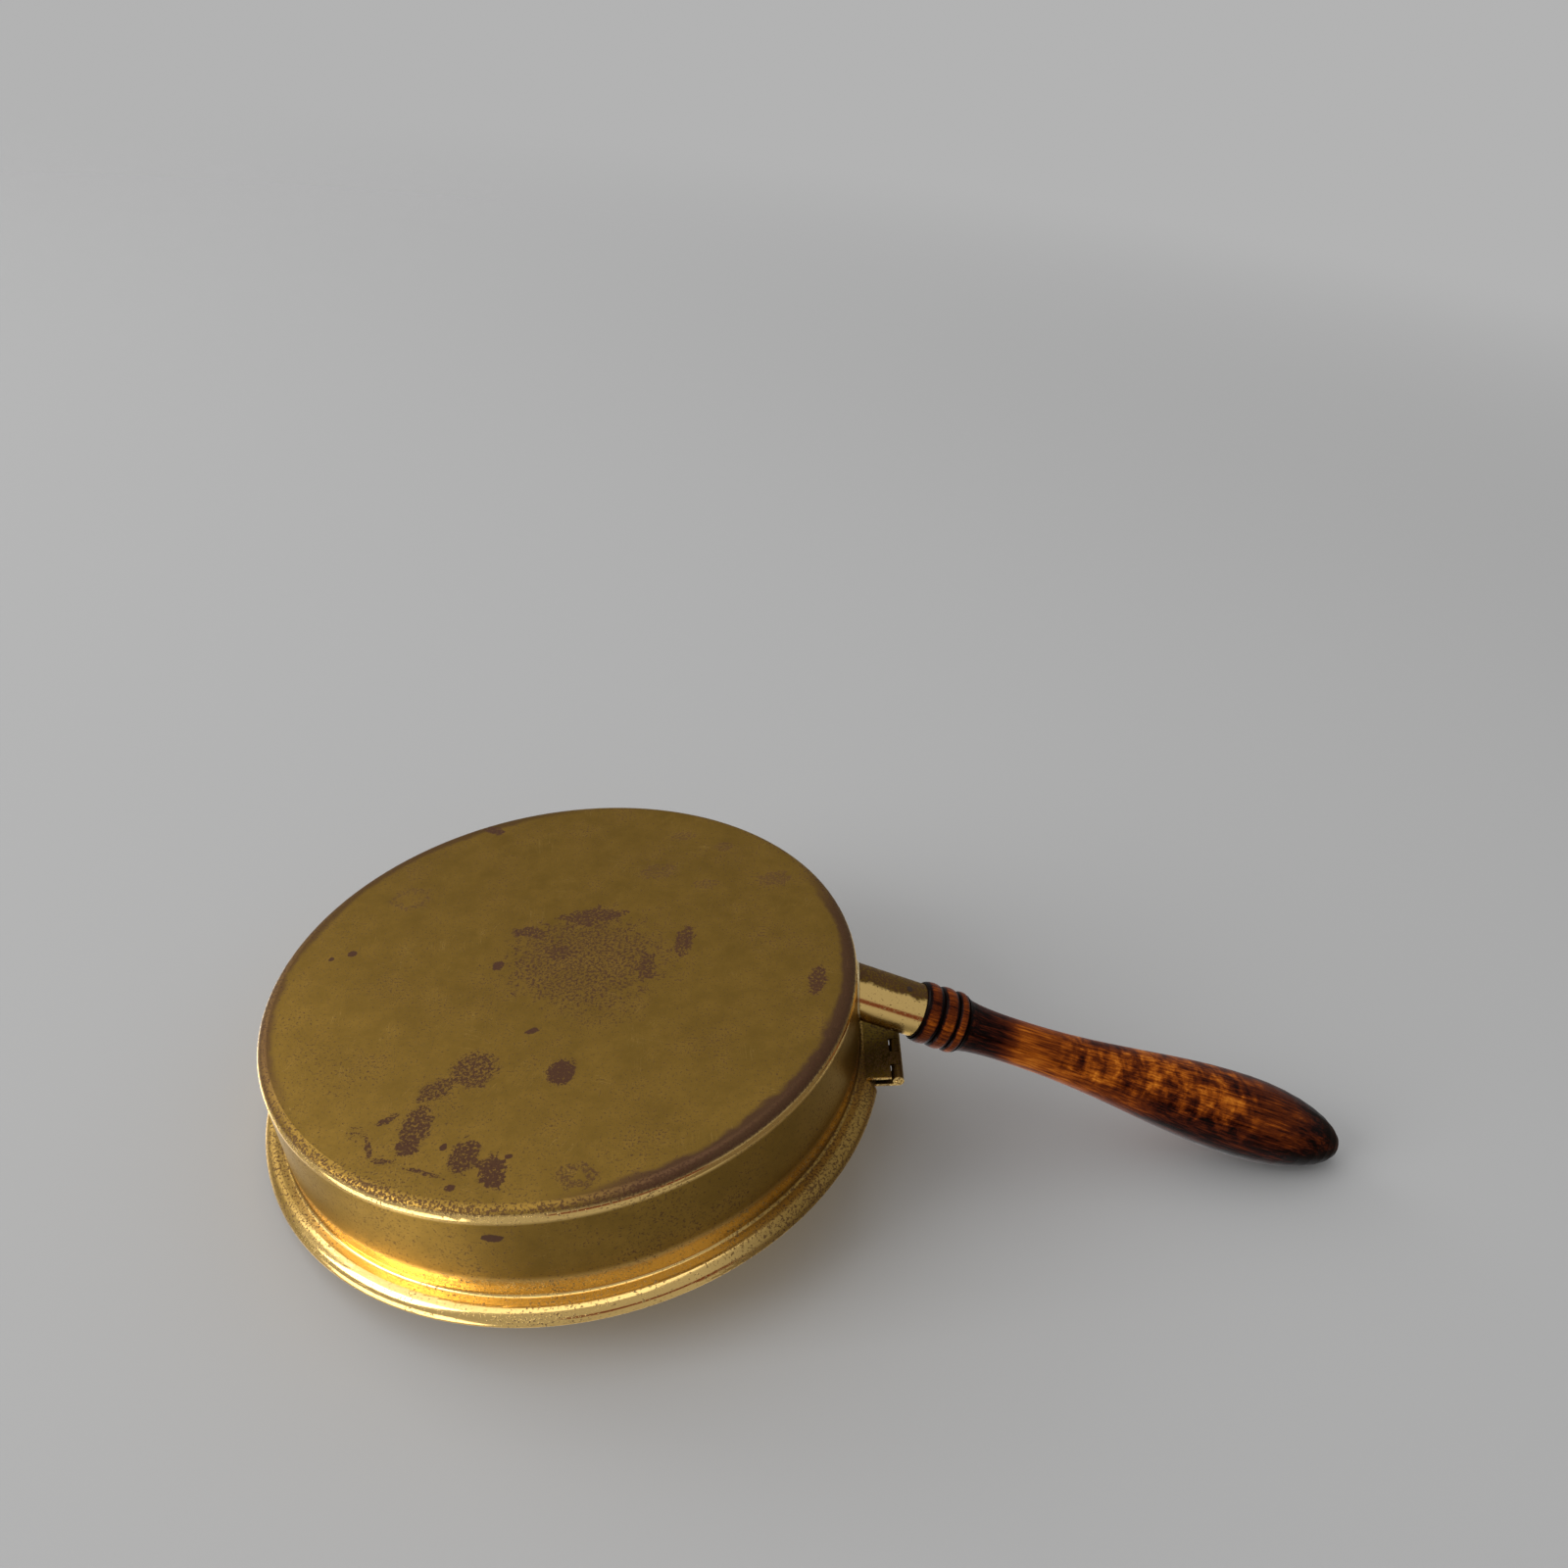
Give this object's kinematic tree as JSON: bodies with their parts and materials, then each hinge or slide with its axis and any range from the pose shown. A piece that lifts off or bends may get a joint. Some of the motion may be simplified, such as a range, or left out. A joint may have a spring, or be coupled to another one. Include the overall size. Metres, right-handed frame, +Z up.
{
  "type": "silent butler",
  "caption": "Round shallow brass crumb pan with a flanged rim, a hinged domed lid and a turned wooden handle in a ferrule.",
  "frame": {"origin": "centre of the pan's flat base, on the pan's axis", "axes": "+Z up along the pan's axis with the lid on top, +X along the handle, hinge pin along Y"},
  "size_m": [0.3177, 0.1768, 0.089],
  "materials": {
    "pan_brass": "worn polish with brown tarnish",
    "lid_brass": "worn polish",
    "hinge_brass": "dull, tarnished in the corners",
    "ferrule_brass": "polished",
    "wood": "dark glossy lacquer",
    "nail_steel": "dark, oxidised"
  },
  "bodies": {
    "pan": {"pan": "pan_brass", "pan_leaf": "hinge_brass", "hinge_pin": "hinge_brass", "ferrule": "ferrule_brass", "handle": "wood", "ferrule_nail": "nail_steel"},
    "lid": {"lid": "lid_brass", "lid_leaf": "hinge_brass"}
  },
  "joints": [
    {"name": "lid_hinge", "type": "hinge", "parent": "pan", "child": "lid", "pos_m": [0.0925, 0, 0.03078], "axis": [0, 1, 0], "range_deg": [0, 141]}
  ]
}
